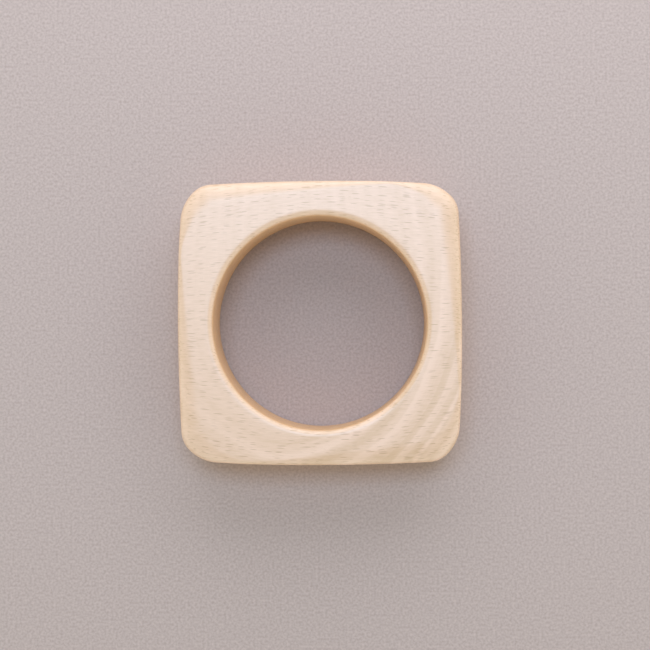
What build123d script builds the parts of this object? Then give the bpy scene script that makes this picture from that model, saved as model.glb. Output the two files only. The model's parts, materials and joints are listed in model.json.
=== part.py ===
from build123d import *

import math
import os

# Baby rattle: a closed beech ring, rounded square outside and round inside. The outer edge of
# each face is eased by a rounding that starts fine just past one corner and spreads into a wide,
# shallow one by the next, four times round, so the ring seems to twist. It is two half rings
# glued at mid height, with a sealed hollow and three loose balls in each corner.
# Millimetres. +Z is the axis of the bore, z = 0 is the face it lies on.

# --- Ring: 86 mm across ------------------------------------------------------------------
SIDE_LENGTH = 64.51
SIDE_RADIUS = 680.0          # the sides bulge very slightly
TIGHT_RADIUS = 8.4           # first half of each corner, going anticlockwise
EASY_RADIUS = 12.6           # second half
THICKNESS = 25.0             # between the two faces
BORE_RADIUS = 32.4
RIM_ROUNDING = 1.8           # eased rims of the bore
CORNERS = 4

# --- Outer rounding, the same on all four sides of both faces -----------------------------
FINE_ROUNDING = 1.0          # where it is finest, both across and deep
WIDE_ACROSS = 7.6            # where it is widest
WIDE_DEPTH = 3.4
START = 12.0                 # how far along the side it starts to widen
WIDEST_SHARE = 0.4           # how far round the corner it is widest
EASE_LENGTH = 20.0           # how far past that it is fine again

# --- Sections of the outside ------------------------------------------------------------
SIDE_POINTS = 14
CORNER_POINTS = 6            # on each of a corner's two arcs
ROUNDING_SECTIONS = 10

# --- Hollows, one in each corner --------------------------------------------------------
HOLLOW_RADIUS = 7.0
HOLLOW_HEIGHT = 14.5
HOLLOW_CENTRE_RADIUS = 43.4  # from the axis of the bore, on the diagonals

# --- Balls ------------------------------------------------------------------------------
BALL_RADIUS = 3.0
BALLS_PER_HOLLOW = 3
BALL_CIRCLE_RADIUS = 3.75    # the balls stand on this circle round the hollow's axis
BALL_FLOOR_GAP = 0.1         # keeps each ball a separate solid

SEAM_HEIGHT = THICKNESS / 2
HOLLOW_FLOOR = SEAM_HEIGHT - HOLLOW_HEIGHT / 2
BALL_HEIGHT = HOLLOW_FLOOR + BALL_FLOOR_GAP + BALL_RADIUS


def outline_arcs():
    """(radius, first angle, last angle, points) of a side and its corner, by the outward direction."""
    side_angle = SIDE_LENGTH / (2 * SIDE_RADIUS)
    middle = math.pi / 4
    return [
        (SIDE_RADIUS, -side_angle, side_angle, SIDE_POINTS),
        (TIGHT_RADIUS, side_angle, middle, CORNER_POINTS),
        (EASY_RADIUS, middle, math.pi / 2 - side_angle, CORNER_POINTS),
    ]


def side_start(arcs):
    """Where a side starts, so that four sides with their corners close round the axis."""
    run_x = sum(radius * (math.cos(last) - math.cos(first)) for radius, first, last, points in arcs)
    run_y = sum(radius * (math.sin(last) - math.sin(first)) for radius, first, last, points in arcs)
    return (run_y - run_x) / 2, -(run_x + run_y) / 2


def widening(along, corner_length):
    """How wide the outer rounding is along a side and its corner, from 0 (fine) to 1 (widest)."""
    widest = SIDE_LENGTH + WIDEST_SHARE * corner_length
    past_widest = (along - widest) % (SIDE_LENGTH + corner_length)
    if past_widest < EASE_LENGTH:
        left = 1 - past_widest / EASE_LENGTH
        easing = left * left * (3 - 2 * left)
    else:
        easing = 0
    growing = (along - START) / (widest - START) if along <= widest else 0
    return max(easing, growing, 0)


def outline_stations():
    """(x, y, outward x, outward y, widening) round the square, anticlockwise."""
    arcs = outline_arcs()
    corner_length = sum(radius * (last - first) for radius, first, last, points in arcs[1:])
    x, y = side_start(arcs)
    along = 0
    quarter = []
    for radius, first, last, points in arcs:
        centre_x = x - radius * math.cos(first)
        centre_y = y - radius * math.sin(first)
        for point in range(points):
            turned = (last - first) * point / points
            share = widening(along + radius * turned, corner_length)
            quarter.append((centre_x, centre_y, radius, first + turned, share))
        x = centre_x + radius * math.cos(last)
        y = centre_y + radius * math.sin(last)
        along += radius * (last - first)
    stations = []
    for corner in range(CORNERS):
        turn = corner * math.pi / 2
        for centre_x, centre_y, radius, angle, share in quarter:
            x = centre_x + radius * math.cos(angle)
            y = centre_y + radius * math.sin(angle)
            stations.append((
                x * math.cos(turn) - y * math.sin(turn),
                x * math.sin(turn) + y * math.cos(turn),
                math.cos(angle + turn),
                math.sin(angle + turn),
                share,
            ))
    return stations


def closed_curve(points):
    """Smooth closed curve through the points, in one piece for each side with its corner."""
    quarter = len(points) // CORNERS
    edges = []
    for first in range(0, len(points), quarter):
        last = (first + quarter) % len(points)
        piece = points[first:first + quarter] + [points[last]]
        tangents = [Vector(*points[(end + 1) % len(points)]) - Vector(*points[end - 1])
                    for end in (first, last)]
        edges.append(Edge.make_spline(piece, tangents=tangents))
    return Wire(edges)


def section(stations, angle):
    """Closed curve on the rounding where it has turned by angle: 0 is upright, 90 degrees is flat."""
    points = []
    for x, y, out_x, out_y, share in stations:
        across = FINE_ROUNDING + (WIDE_ACROSS - FINE_ROUNDING) * share
        depth = FINE_ROUNDING + (WIDE_DEPTH - FINE_ROUNDING) * share
        inset = across * (1 - math.cos(angle))
        height = THICKNESS - depth * (1 - math.sin(angle))
        points.append((x - inset * out_x, y - inset * out_y, height))
    return closed_curve(points)


def seam_section(stations):
    """The full outline at the seam, where the outside is upright."""
    return closed_curve([(x, y, SEAM_HEIGHT) for x, y, out_x, out_y, share in stations])


def corner_angle(corner):
    """Direction of a corner from the axis, in degrees."""
    return (corner + 0.5) * 360 / CORNERS


def hollow_centre(corner):
    """Where a corner's hollow stands."""
    angle = math.radians(corner_angle(corner))
    return HOLLOW_CENTRE_RADIUS * math.cos(angle), HOLLOW_CENTRE_RADIUS * math.sin(angle)


def upper_half_ring():
    """The upper half: its outside, the bore with an eased rim, and the upper half of each hollow."""
    stations = outline_stations()
    sections = [seam_section(stations)]
    for index in range(ROUNDING_SECTIONS + 1):
        sections.append(section(stations, math.pi / 2 * index / ROUNDING_SECTIONS))
    half = Solid.make_loft(sections, ruled=True)
    half -= Pos(0, 0, SEAM_HEIGHT) * Cylinder(BORE_RADIUS, 2 * THICKNESS)
    rim = half.edges().filter_by(GeomType.CIRCLE).sort_by(Axis.Z)[-1]
    half = fillet(rim, RIM_ROUNDING)
    for corner in range(CORNERS):
        centre_x, centre_y = hollow_centre(corner)
        half -= Pos(centre_x, centre_y, SEAM_HEIGHT) * Cylinder(HOLLOW_RADIUS, HOLLOW_HEIGHT)
    return half


def ball_centre(corner, place):
    """Centre of one ball lying on the floor of its hollow."""
    centre_x, centre_y = hollow_centre(corner)
    angle = math.radians(corner_angle(corner) + place * 360 / BALLS_PER_HOLLOW)
    return (
        centre_x + BALL_CIRCLE_RADIUS * math.cos(angle),
        centre_y + BALL_CIRCLE_RADIUS * math.sin(angle),
        BALL_HEIGHT,
    )


def save(shape, name):
    """Write one node."""
    shape.label = name
    export_step(shape, f"parts/{name}.step")


os.makedirs("parts", exist_ok=True)

upper = upper_half_ring()
save(upper, "upper_half_ring")
save(mirror(upper, about=Plane.XY.offset(SEAM_HEIGHT)), "lower_half_ring")

for corner in range(CORNERS):
    for place in range(BALLS_PER_HOLLOW):
        number = corner * BALLS_PER_HOLLOW + place + 1
        save(Pos(*ball_centre(corner, place)) * Sphere(BALL_RADIUS), f"rattle_ball_{number:02d}")
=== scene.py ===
"""Looks of the ring rattle: beech, steel balls, a plain pale table, soft studio light and the camera.

Everything is in metres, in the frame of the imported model: +Z is the axis of the bore and
z = 0 is the face the rattle lies on.
"""
import json
import math

import bmesh
import bpy
from mathutils import Matrix, Vector


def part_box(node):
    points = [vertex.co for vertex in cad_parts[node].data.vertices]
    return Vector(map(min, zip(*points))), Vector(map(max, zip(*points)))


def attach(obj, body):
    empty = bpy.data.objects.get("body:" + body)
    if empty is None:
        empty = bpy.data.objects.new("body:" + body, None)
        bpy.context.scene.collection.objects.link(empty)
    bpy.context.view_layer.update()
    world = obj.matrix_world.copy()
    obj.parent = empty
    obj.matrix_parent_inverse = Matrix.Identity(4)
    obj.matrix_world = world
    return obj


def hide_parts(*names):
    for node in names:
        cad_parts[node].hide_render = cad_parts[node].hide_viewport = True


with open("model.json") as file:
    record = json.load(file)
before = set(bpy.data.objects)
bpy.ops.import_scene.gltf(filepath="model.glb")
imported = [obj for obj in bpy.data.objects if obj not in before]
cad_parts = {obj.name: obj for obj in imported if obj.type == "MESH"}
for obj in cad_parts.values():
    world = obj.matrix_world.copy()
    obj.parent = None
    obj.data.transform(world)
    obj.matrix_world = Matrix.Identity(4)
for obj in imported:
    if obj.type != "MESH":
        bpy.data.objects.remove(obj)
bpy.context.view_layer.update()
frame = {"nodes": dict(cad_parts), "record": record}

MM = 0.001

# --- Ring, as in the CAD model ----------------------------------------------------------
SIDE_LENGTH = 64.51 * MM
SIDE_RADIUS = 680.0 * MM
TIGHT_RADIUS = 8.4 * MM      # first half of each corner, going anticlockwise
EASY_RADIUS = 12.6 * MM      # second half
RIM_ROUNDING = 1.8 * MM
FINE_ROUNDING = 1.0 * MM     # outer rounding where it is finest, just past each corner
WIDE_ACROSS = 7.6 * MM       # and where it is widest, at the next corner
WIDE_DEPTH = 3.4 * MM
START = 12.0 * MM
WIDEST_SHARE = 0.4
EASE_LENGTH = 20.0 * MM
HOLLOW_RADIUS = 7.0 * MM
HOLLOW_HEIGHT = 14.5 * MM
HOLLOW_CENTRE_RADIUS = 43.4 * MM
CORNERS = 4
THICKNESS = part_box("upper_half_ring")[1].z
SEAM_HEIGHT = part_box("upper_half_ring")[0].z
BORE_RADIUS = next(m for m in frame["record"]["mounts"] if m["name"] == "bore")["dims"]["r_mm"] * MM

# --- Mesh density -----------------------------------------------------------------------
SIDE_STEPS = 48
CORNER_STEPS = 10
WALL_STEPS = 8
ROUNDING_STEPS = 14
FACE_STEPS = 12
RIM_STEPS = 8
BORE_STEPS = 6
HOLLOW_SEGMENTS = 72
SEAM_EASE = 0.12 * MM
SHARP_ANGLE = math.radians(40.0)

# --- Beech ------------------------------------------------------------------------------
BEECH_LIGHT = (0.755, 0.525, 0.38)
BEECH_DARK = (0.635, 0.425, 0.27)
BEECH_ROUGHNESS = 0.40
BEECH_SHINE = 1.0
TONE_RANGE = (0.30, 0.70)    # pattern values that give the dark and the light tone
PATTERN_DETAIL = 3.0
BUMP_STRENGTH = 0.15
BUMP_DEPTH = 0.05 * MM
BAND_MIDDLE = 8.0 * MM       # how far left of the bore the U of the growth bands has its middle
BAND_DROP = 0.9              # under 1 makes the U deeper than it is wide
BAND_SCALE = 260.0           # bands per metre
BAND_SWAY = 14.0 * MM
BAND_SWAY_SCALE = 14.0
BAND_LEAN = 0.35             # how far the bands lean out as they go up
BAND_CLEAR = (0.0, 70.0 * MM)    # x - y over which the bands turn clearer
BAND_SHARE = (0.25, 1.1)     # their share of the tone before and after that
FIBRE_SHARE = 0.6
FIBRE_SCALE = (260.0, 2400.0, 800.0)     # streaks per metre along, across and up
ROW_BOW = 49.0               # how much the rows of the grain spread towards the sides
FLECK_SCALE = (260.0, 2900.0, 1700.0)    # flecks per metre along, across and up
FLECK_REACH = 0.48           # longest half fleck, as a share of their spacing
FLECK_SOFTNESS = 0.2
FLECK_STRENGTH = 0.68
FLECK_COLOUR = (0.43, 0.26, 0.14)
# Painted shade, partly darker end grain, on the wall of the bore: its tint and how far past the wall it
# fades out.
BORE_SHADE_AND_GRAIN_TINT = (1.0, 0.90, 0.66)
BORE_SHADE_AND_GRAIN_REACH = 0.35 * MM        # how far past the bore's wall the tint fades out

# --- Steel ------------------------------------------------------------------------------
STEEL_COLOUR = (0.62, 0.62, 0.63)
CLOUD_SCALE = 900.0
CLOUD_RANGE = (0.3, 0.7)
STEEL_ROUGHNESS = (0.12, 0.24)

# --- Table, covered with paper -----------------------------------------------------------
PAPER_LIGHT = (0.535, 0.43, 0.392)
PAPER_DARK = (0.378, 0.298, 0.267)
PAPER_GRAIN = 1300
PAPER_DETAIL = 5.0
PAPER_RANGE = (0.25, 0.75)
PAPER_ROUGHNESS = 0.9
TABLE_REACH = 3.0

# --- Light ------------------------------------------------------------------------------
HORIZON_STRENGTH = 2.08
ZENITH_STRENGTH = 0.03
SKY_COLOUR = (1.0, 0.99, 0.87)
OVERHEAD_PLACE = (-0.02, 0.225, 1.0)
OVERHEAD_SIZE = (0.5, 0.26)
OVERHEAD_WATTS = 5.0
OVERHEAD_COLOUR = (0.47, 0.69, 0.99)
FAR_PLACE = (0.05, 0.40, 0.27)
FAR_SIZE = (0.6, 0.35)
FAR_WATTS = 1.5
FAR_COLOUR = (0.82, 0.85, 1.0)

# --- Camera -----------------------------------------------------------------------------
IMAGE_PIXELS = 650
PIXELS_PER_MM = 3.228
CAMERA_DISTANCE = 456.6 * MM
CAMERA_OFFSET = (13.3 * MM, -4.0 * MM)
CAMERA_AIM = (1.33 * MM, -0.56 * MM)
CAMERA_ROLL = math.radians(-0.2)
SENSOR = 36.0


def outline_arcs():
    """(radius, first angle, last angle, steps) of a side and its corner, by the outward direction."""
    side_angle = SIDE_LENGTH / (2 * SIDE_RADIUS)
    middle = math.pi / 4
    return [
        (SIDE_RADIUS, -side_angle, side_angle, SIDE_STEPS),
        (TIGHT_RADIUS, side_angle, middle, CORNER_STEPS),
        (EASY_RADIUS, middle, math.pi / 2 - side_angle, CORNER_STEPS),
    ]


def direction(angle):
    """Flat unit vector at an angle."""
    return Vector((math.cos(angle), math.sin(angle)))


def side_start(arcs):
    """Where a side starts, so that four sides with their corners close round the axis."""
    run = Vector((0, 0))
    for radius, first, last, steps in arcs:
        run += radius * (direction(last) - direction(first))
    return Vector((run.y - run.x, -run.x - run.y)) / 2


def widening(along, corner_length):
    """How wide the outer rounding is along a side and its corner, from 0 (fine) to 1 (widest)."""
    widest = SIDE_LENGTH + WIDEST_SHARE * corner_length
    past_widest = (along - widest) % (SIDE_LENGTH + corner_length)
    if past_widest < EASE_LENGTH:
        left = 1 - past_widest / EASE_LENGTH
        easing = left * left * (3 - 2 * left)
    else:
        easing = 0
    growing = (along - START) / (widest - START) if along <= widest else 0
    return max(easing, growing, 0)


def outline():
    """(point, outward normal, widening) round the square, anticlockwise from the right side."""
    arcs = outline_arcs()
    corner_length = sum(radius * (last - first) for radius, first, last, steps in arcs[1:])
    start = side_start(arcs)
    along = 0
    quarter = []
    for radius, first, last, steps in arcs:
        centre = start - radius * direction(first)
        for step in range(steps):
            turned = (last - first) * step / steps
            normal = direction(first + turned)
            share = widening(along + radius * turned, corner_length)
            quarter.append((centre + radius * normal, normal, share))
        start = centre + radius * direction(last)
        along += radius * (last - first)
    points = []
    for corner in range(CORNERS):
        turn = Matrix.Rotation(corner * math.pi / 2, 2)
        points += [(turn @ point, turn @ normal, share) for point, normal, share in quarter]
    return points


def rounding_depth(share):
    """How far down from the face the outer rounding reaches."""
    return FINE_ROUNDING + (WIDE_DEPTH - FINE_ROUNDING) * share


def wall_loops(square):
    """Loops of the outside from the seam up to where the rounding starts, the first one eased."""
    loops = [[(point - SEAM_EASE * normal).to_3d() + Vector((0, 0, SEAM_HEIGHT))
              for point, normal, share in square]]
    for step in range(WALL_STEPS):
        loop = []
        for point, normal, share in square:
            wall = THICKNESS - SEAM_HEIGHT - rounding_depth(share) - SEAM_EASE
            height = SEAM_HEIGHT + SEAM_EASE + wall * step / WALL_STEPS
            loop.append(Vector((point.x, point.y, height)))
        loops.append(loop)
    return loops


def rounding_loops(square):
    """Loops over the outer rounding, from upright to flat."""
    loops = []
    for step in range(ROUNDING_STEPS + 1):
        angle = math.pi / 2 * step / ROUNDING_STEPS
        loop = []
        for point, normal, share in square:
            across = FINE_ROUNDING + (WIDE_ACROSS - FINE_ROUNDING) * share
            flat = point - across * (1 - math.cos(angle)) * normal
            height = THICKNESS - rounding_depth(share) * (1 - math.sin(angle))
            loop.append(Vector((flat.x, flat.y, height)))
        loops.append(loop)
    return loops


def bore_loops(square):
    """Loops from the face over the eased rim and down the bore to the seam."""
    stations = []
    for step in range(RIM_STEPS + 1):
        angle = math.pi / 2 * step / RIM_STEPS
        radius = BORE_RADIUS + RIM_ROUNDING * (1 - math.sin(angle))
        stations.append((THICKNESS - RIM_ROUNDING * (1 - math.cos(angle)), radius))
    wall = THICKNESS - SEAM_HEIGHT - RIM_ROUNDING - SEAM_EASE
    for step in range(1, BORE_STEPS + 1):
        stations.append((SEAM_HEIGHT + SEAM_EASE + wall * (1 - step / BORE_STEPS), BORE_RADIUS))
    stations.append((SEAM_HEIGHT, BORE_RADIUS + SEAM_EASE))
    spokes = [point.normalized() for point, normal, share in square]
    return [[(radius * spoke).to_3d() + Vector((0, 0, height)) for spoke in spokes]
            for height, radius in stations]


def upper_half_loops():
    """Closed loops of points round the upper half ring: up the outside, over the face, down the bore."""
    square = outline()
    outside = wall_loops(square) + rounding_loops(square)
    bore = bore_loops(square)
    face = []
    for step in range(1, FACE_STEPS):
        share = step / FACE_STEPS
        face.append([outer.lerp(inner, share) for outer, inner in zip(outside[-1], bore[0])])
    return outside + face + bore


def mirrored(loops):
    """The loops mirrored in the plane of the seam."""
    return [[Vector((point.x, point.y, 2 * SEAM_HEIGHT - point.z)) for point in loop] for loop in loops]


def mesh_from_loops(name, loops):
    """A closed tube of quads through the loops, the last one joined to the first."""
    mesh = bpy.data.meshes.new(name)
    shape = bmesh.new()
    rows = [[shape.verts.new(point) for point in loop] for loop in loops]
    for index, row in enumerate(rows):
        following = rows[(index + 1) % len(rows)]
        for step in range(len(row)):
            ahead = (step + 1) % len(row)
            shape.faces.new((row[step], row[ahead], following[ahead], following[step]))
    bmesh.ops.recalc_face_normals(shape, faces=shape.faces)
    shape.to_mesh(mesh)
    shape.free()
    return mesh


def hollow_cutter():
    """Four upright drums in the corners, which the hollows are cut with."""
    shape = bmesh.new()
    for corner in range(CORNERS):
        angle = (corner + 0.5) * 2 * math.pi / CORNERS
        place = Vector((math.cos(angle), math.sin(angle), 0)) * HOLLOW_CENTRE_RADIUS
        place.z = SEAM_HEIGHT
        bmesh.ops.create_cone(
            shape,
            cap_ends=True,
            segments=HOLLOW_SEGMENTS,
            radius1=HOLLOW_RADIUS,
            radius2=HOLLOW_RADIUS,
            depth=HOLLOW_HEIGHT,
            matrix=Matrix.Translation(place),
        )
    mesh = bpy.data.meshes.new("hollow_cutter")
    shape.to_mesh(mesh)
    shape.free()
    cutter = bpy.data.objects.new("hollow_cutter", mesh)
    bpy.context.scene.collection.objects.link(cutter)
    return cutter


def half_ring(name, loops, cutter, material):
    """One half of the ring, with its four blind hollows, standing for the CAD node of that name."""
    piece = bpy.data.objects.new(f"{name}_beech", mesh_from_loops(name, loops))
    bpy.context.scene.collection.objects.link(piece)
    cut = piece.modifiers.new("hollows", "BOOLEAN")
    cut.operation = "DIFFERENCE"
    cut.solver = "EXACT"
    cut.object = cutter
    depsgraph = bpy.context.evaluated_depsgraph_get()
    finished = bpy.data.meshes.new_from_object(piece.evaluated_get(depsgraph))
    piece.modifiers.clear()
    piece.data = finished
    finished.shade_smooth()
    finished.set_sharp_from_angle(angle=SHARP_ANGLE)
    finished.materials.clear()
    finished.materials.append(material)
    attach(piece, "ring")
    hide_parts(name)


def new_material(name):
    """An empty node material: (material, nodes, links, shader)."""
    material = bpy.data.materials.new(name)
    material.use_nodes = True
    nodes = material.node_tree.nodes
    return material, nodes, material.node_tree.links, nodes["Principled BSDF"]


def add_node(nodes, kind, **settings):
    """A shader node with its settings."""
    node = nodes.new(kind)
    for name, value in settings.items():
        setattr(node, name, value)
    return node


def math_node(material, operation, first, second=None):
    """Output of a math node over two sockets or numbers."""
    nodes, links = material.node_tree.nodes, material.node_tree.links
    node = add_node(nodes, "ShaderNodeMath", operation=operation)
    for socket, value in zip(node.inputs, (first, second)):
        if isinstance(value, bpy.types.NodeSocket):
            links.new(value, socket)
        elif value is not None:
            socket.default_value = value
    return node.outputs[0]


def remapped(material, value, low, high, to_low, to_high):
    """Output of a smooth remap of a socket from one range to another."""
    nodes, links = material.node_tree.nodes, material.node_tree.links
    node = add_node(nodes, "ShaderNodeMapRange", interpolation_type="SMOOTHSTEP")
    links.new(value, node.inputs["Value"])
    for name, number in (("From Min", low), ("From Max", high), ("To Min", to_low), ("To Max", to_high)):
        node.inputs[name].default_value = number
    return node.outputs["Result"]


def squared_length(material, first, second):
    """Output of first squared plus second squared."""
    return math_node(material, "ADD", math_node(material, "POWER", first, 2.0),
                     math_node(material, "POWER", second, 2.0))


def two_tone(material, pattern, values, dark, light):
    """Output of a ramp that turns a pattern into two tones."""
    node = add_node(material.node_tree.nodes, "ShaderNodeValToRGB")
    for element, value, colour in zip(node.color_ramp.elements, values, (dark, light)):
        element.position = value
        element.color = (*colour, 1)
    material.node_tree.links.new(pattern, node.inputs[0])
    return node.outputs[0]


def stretched(material, vector, scale):
    """Output of a mapping that scales a vector along its axes."""
    node = add_node(material.node_tree.nodes, "ShaderNodeMapping")
    node.inputs["Scale"].default_value = scale
    material.node_tree.links.new(vector, node.inputs["Vector"])
    return node.outputs[0]


def beech_material():
    """Pale satin beech: growth bands that sweep under the bore, fibres and short dark ray flecks."""
    material, nodes, links, shader = new_material("beech")
    place = add_node(nodes, "ShaderNodeTexCoord")
    split = add_node(nodes, "ShaderNodeSeparateXYZ")
    links.new(place.outputs["Object"], split.inputs[0])
    x, y, z = split.outputs

    # Growth bands: upright above the bore's middle, bending into a U below it.
    across = math_node(material, "ADD", x, BAND_MIDDLE)
    below = math_node(material, "MULTIPLY", math_node(material, "MINIMUM", y, 0.0), BAND_DROP)
    ring_distance = math_node(material, "SQRT", squared_length(material, across, below))
    sway = add_node(nodes, "ShaderNodeTexNoise")
    sway.inputs["Scale"].default_value = BAND_SWAY_SCALE
    links.new(place.outputs["Object"], sway.inputs["Vector"])
    swayed = math_node(material, "ADD", ring_distance,
                       math_node(material, "MULTIPLY", sway.outputs["Fac"], BAND_SWAY))
    sunk = math_node(material, "ADD", swayed, math_node(material, "MULTIPLY", z, BAND_LEAN))
    bands = add_node(nodes, "ShaderNodeTexNoise", noise_dimensions="1D")
    bands.inputs["Scale"].default_value = BAND_SCALE
    bands.inputs["Detail"].default_value = PATTERN_DETAIL
    links.new(sunk, bands.inputs["W"])

    # The grain runs along X in slightly bowed rows.
    bow = math_node(material, "MULTIPLY", math_node(material, "POWER", x, 2.0), ROW_BOW)
    row = math_node(material, "MULTIPLY", y, math_node(material, "ADD", bow, 1.0))
    grain = add_node(nodes, "ShaderNodeCombineXYZ")
    for socket, value in zip(grain.inputs, (x, row, z)):
        links.new(value, socket)

    # Ray flecks: thin dark dashes along the grain. The cells' distance is in cells.
    cells = add_node(nodes, "ShaderNodeTexVoronoi", feature="F1")
    cells.inputs["Scale"].default_value = 1.0
    links.new(stretched(material, grain.outputs[0], FLECK_SCALE), cells.inputs["Vector"])
    chance = add_node(nodes, "ShaderNodeSeparateColor")
    links.new(cells.outputs["Color"], chance.inputs[0])
    reach = math_node(material, "MULTIPLY", chance.outputs[0], FLECK_REACH)
    inside = math_node(material, "SUBTRACT", reach, cells.outputs["Distance"])
    fleck = remapped(material, inside, 0.0, FLECK_SOFTNESS, 0.0, FLECK_STRENGTH)

    # Fibres: fine streaks along the grain.
    fibres = add_node(nodes, "ShaderNodeTexNoise")
    fibres.inputs["Scale"].default_value = 1.0
    fibres.inputs["Detail"].default_value = PATTERN_DETAIL
    links.new(stretched(material, grain.outputs[0], FIBRE_SCALE), fibres.inputs["Vector"])

    # Tone: bands and fibres about the middle value, the bands clearer in the lower right corner.
    corner = math_node(material, "SUBTRACT", x, y)
    contrast = remapped(material, corner, *BAND_CLEAR, *BAND_SHARE)
    centred = math_node(material, "SUBTRACT", bands.outputs["Fac"], 0.5)
    mixed = math_node(material, "ADD", math_node(material, "MULTIPLY", centred, contrast),
                      math_node(material, "MULTIPLY", fibres.outputs["Fac"], FIBRE_SHARE))
    pattern = math_node(material, "ADD", mixed, 0.5 - FIBRE_SHARE / 2)
    tone = two_tone(material, pattern, TONE_RANGE, BEECH_DARK, BEECH_LIGHT)
    flecked = add_node(nodes, "ShaderNodeMix", data_type="RGBA")
    links.new(fleck, flecked.inputs[0])
    links.new(tone, flecked.inputs["A"])
    flecked.inputs["B"].default_value = (*FLECK_COLOUR, 1)

    # Painted shade, partly the darker end grain: the wall of the bore is darker and more amber than the
    # faces.
    from_axis = math_node(material, "SQRT", squared_length(material, x, y))
    bore_shade_and_grain_mask = remapped(material, from_axis, BORE_RADIUS, BORE_RADIUS + BORE_SHADE_AND_GRAIN_REACH, 1.0, 0.0)
    bore_shade_and_grain = add_node(nodes, "ShaderNodeMix", data_type="RGBA", blend_type="MULTIPLY")
    links.new(bore_shade_and_grain_mask, bore_shade_and_grain.inputs[0])
    links.new(flecked.outputs["Result"], bore_shade_and_grain.inputs["A"])
    bore_shade_and_grain.inputs["B"].default_value = (*BORE_SHADE_AND_GRAIN_TINT, 1)
    links.new(bore_shade_and_grain.outputs["Result"], shader.inputs["Base Color"])
    shader.inputs["Roughness"].default_value = BEECH_ROUGHNESS
    shader.inputs["Specular IOR Level"].default_value = BEECH_SHINE

    bump = add_node(nodes, "ShaderNodeBump")
    bump.inputs["Strength"].default_value = BUMP_STRENGTH
    bump.inputs["Distance"].default_value = BUMP_DEPTH
    links.new(fibres.outputs["Fac"], bump.inputs["Height"])
    links.new(bump.outputs[0], shader.inputs["Normal"])
    return material


def steel_material():
    """Polished steel with a faint cloudiness."""
    material, nodes, links, shader = new_material("ball_steel")
    cloud = add_node(nodes, "ShaderNodeTexNoise")
    cloud.inputs["Scale"].default_value = CLOUD_SCALE
    roughness = remapped(material, cloud.outputs["Fac"], *CLOUD_RANGE, *STEEL_ROUGHNESS)
    links.new(roughness, shader.inputs["Roughness"])
    shader.inputs["Base Color"].default_value = (*STEEL_COLOUR, 1)
    shader.inputs["Metallic"].default_value = 1.0
    return material


def table_material():
    """Taupe paper with a fine mottle."""
    material, nodes, links, shader = new_material("table_paper")
    place = add_node(nodes, "ShaderNodeTexCoord")
    grain = add_node(nodes, "ShaderNodeTexNoise")
    grain.inputs["Scale"].default_value = PAPER_GRAIN
    grain.inputs["Detail"].default_value = PAPER_DETAIL
    links.new(place.outputs["Object"], grain.inputs["Vector"])
    tone = two_tone(material, grain.outputs["Fac"], PAPER_RANGE, PAPER_DARK, PAPER_LIGHT)
    links.new(tone, shader.inputs["Base Color"])
    shader.inputs["Roughness"].default_value = PAPER_ROUGHNESS
    return material


def add_table():
    """The plain table top the rattle lies on."""
    mesh = bpy.data.meshes.new("table")
    corners = [(TABLE_REACH * x, TABLE_REACH * y, 0) for x, y in ((-1, -1), (1, -1), (1, 1), (-1, 1))]
    mesh.from_pydata(corners, [], [range(len(corners))])
    table = bpy.data.objects.new("table", mesh)
    table.data.materials.append(table_material())
    bpy.context.scene.collection.objects.link(table)


def add_softbox(name, place, size, watts, colour):
    """A rectangular softbox aimed at the rattle."""
    data = bpy.data.lights.new(name, "AREA")
    data.shape = "RECTANGLE"
    data.size, data.size_y = size
    data.energy = watts
    data.color = colour
    light = bpy.data.objects.new(name, data)
    light.location = place
    light.rotation_euler = Vector(place).to_track_quat("Z", "Y").to_euler()
    bpy.context.scene.collection.objects.link(light)


def add_lights():
    """Pale walls all round that dim overhead, a softbox for the sheen and a lower one at the far side."""
    add_softbox("overhead_softbox", OVERHEAD_PLACE, OVERHEAD_SIZE, OVERHEAD_WATTS, OVERHEAD_COLOUR)
    add_softbox("far_softbox", FAR_PLACE, FAR_SIZE, FAR_WATTS, FAR_COLOUR)
    world = bpy.data.worlds.new("studio")
    world.use_nodes = True
    nodes, links = world.node_tree.nodes, world.node_tree.links
    background = nodes["Background"]
    background.inputs["Color"].default_value = (*SKY_COLOUR, 1)
    place = nodes.new("ShaderNodeTexCoord")
    split = nodes.new("ShaderNodeSeparateXYZ")
    links.new(place.outputs["Generated"], split.inputs[0])
    dimming = nodes.new("ShaderNodeMapRange")
    dimming.inputs["To Min"].default_value = HORIZON_STRENGTH
    dimming.inputs["To Max"].default_value = ZENITH_STRENGTH
    links.new(split.outputs["Z"], dimming.inputs["Value"])
    links.new(dimming.outputs["Result"], background.inputs["Strength"])
    bpy.context.scene.world = world


def add_camera():
    """A camera almost straight above the bore."""
    data = bpy.data.cameras.new("camera")
    data.sensor_width = SENSOR
    field = IMAGE_PIXELS / PIXELS_PER_MM * MM
    data.lens = SENSOR * CAMERA_DISTANCE / field
    camera = bpy.data.objects.new("camera", data)
    middle = THICKNESS / 2
    camera.location = (*CAMERA_OFFSET, middle + CAMERA_DISTANCE)
    aim = Vector((*CAMERA_AIM, middle))
    backward = (camera.location - aim).normalized()
    up = Vector((-math.sin(CAMERA_ROLL), math.cos(CAMERA_ROLL), 0))
    right = up.cross(backward).normalized()
    axes = Matrix((right, backward.cross(right), backward)).transposed()
    camera.rotation_euler = axes.to_euler()
    bpy.context.scene.collection.objects.link(camera)
    bpy.context.scene.camera = camera


add_camera()
add_table()
add_lights()
beech = beech_material()
cutter = hollow_cutter()
loops = upper_half_loops()
half_ring("upper_half_ring", loops, cutter, beech)
half_ring("lower_half_ring", mirrored(loops), cutter, beech)
bpy.data.objects.remove(cutter)
steel = steel_material()
for name, node in frame["nodes"].items():
    if name.startswith("rattle_ball"):
        node.data.materials.clear()
        node.data.materials.append(steel)
bpy.context.scene.view_settings.view_transform = "Standard"
